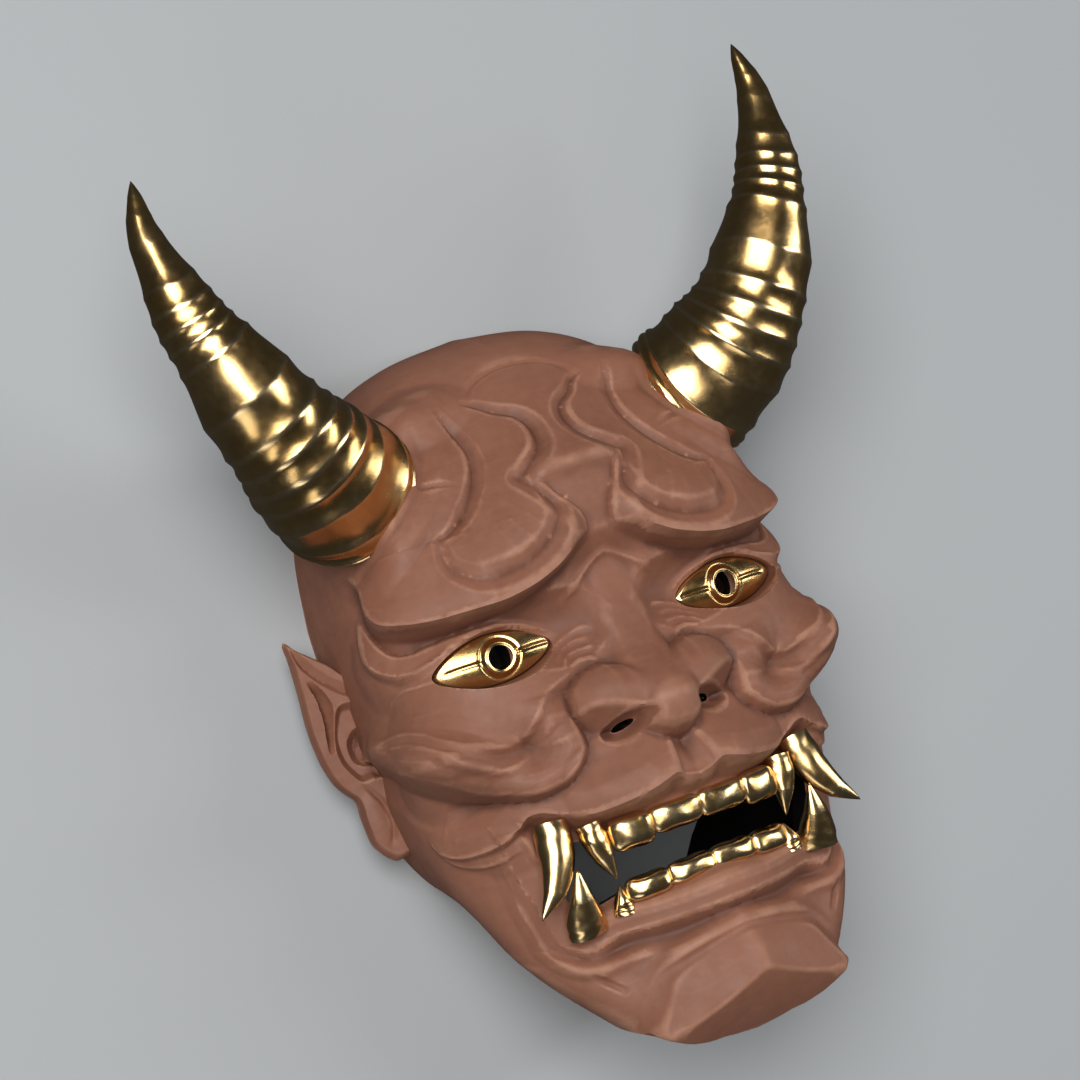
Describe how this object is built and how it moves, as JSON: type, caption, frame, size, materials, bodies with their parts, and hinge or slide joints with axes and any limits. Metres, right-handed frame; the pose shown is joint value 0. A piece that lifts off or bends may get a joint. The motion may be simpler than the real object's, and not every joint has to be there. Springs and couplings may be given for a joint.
{
  "type": "oni mask",
  "caption": "Horned demon mask with carved clay-red face, gilt eyes, horns, teeth and tusks, hollow behind, lying on its flat rear rim.",
  "frame": {"origin": "centre of the bounding box in plan, on the surface that the rear rim rests on", "axes": "+Z out of the face, +Y to the crown and the horn tips, +X to the viewer's right"},
  "size_m": [0.2352, 0.311, 0.0999],
  "materials": {
    "clay": "matt clay-red lacquer over cast resin",
    "gold": "bright polished gilding over cast resin"
  },
  "bodies": {
    "root": {"mask_shell": "clay", "horn_right": "gold", "horn_left": "gold", "eye_right": "gold", "eye_left": "gold", "upper_teeth": "gold", "lower_teeth": "gold", "tusk_right": "gold", "tusk_left": "gold", "upper_fang_right": "gold", "upper_fang_left": "gold", "lower_fang_right": "gold", "lower_fang_left": "gold"}
  },
  "joints": []
}
